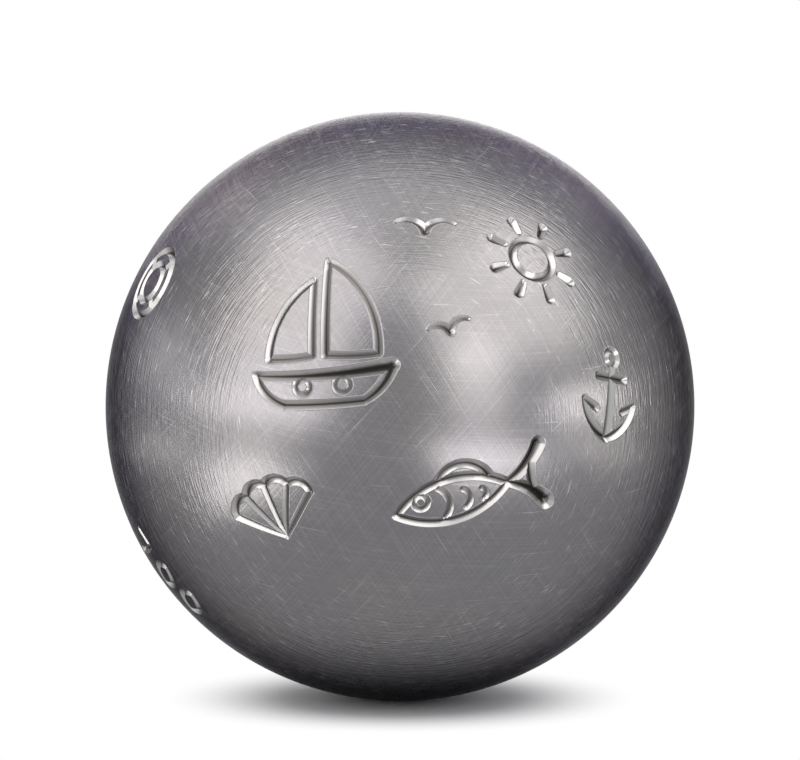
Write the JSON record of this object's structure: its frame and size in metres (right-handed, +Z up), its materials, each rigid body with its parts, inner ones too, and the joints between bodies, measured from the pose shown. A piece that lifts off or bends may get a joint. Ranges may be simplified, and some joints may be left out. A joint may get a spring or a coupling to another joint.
{
  "type": "petanque boule",
  "caption": "Hollow steel playing ball of two pressed half shells joined by a ground-flush weld, engraved with line figures and plain weight figures.",
  "frame": {"origin": "centre of the ball", "axes": "+Z up, away from the ground contact; +Y along the weld's axis, from the engraved front half shell to the rear half shell, so the main figures face -Y"},
  "size_m": [0.073, 0.073, 0.073],
  "materials": {
    "shell": "satin, with fine scratches, and bright freshly cut engraved lines",
    "weld": "turned flush with the shells"
  },
  "bodies": {
    "root": {"front_half_shell": "shell", "rear_half_shell": "shell", "weld_root_run": "weld", "weld_cap_run": "weld"}
  },
  "joints": []
}
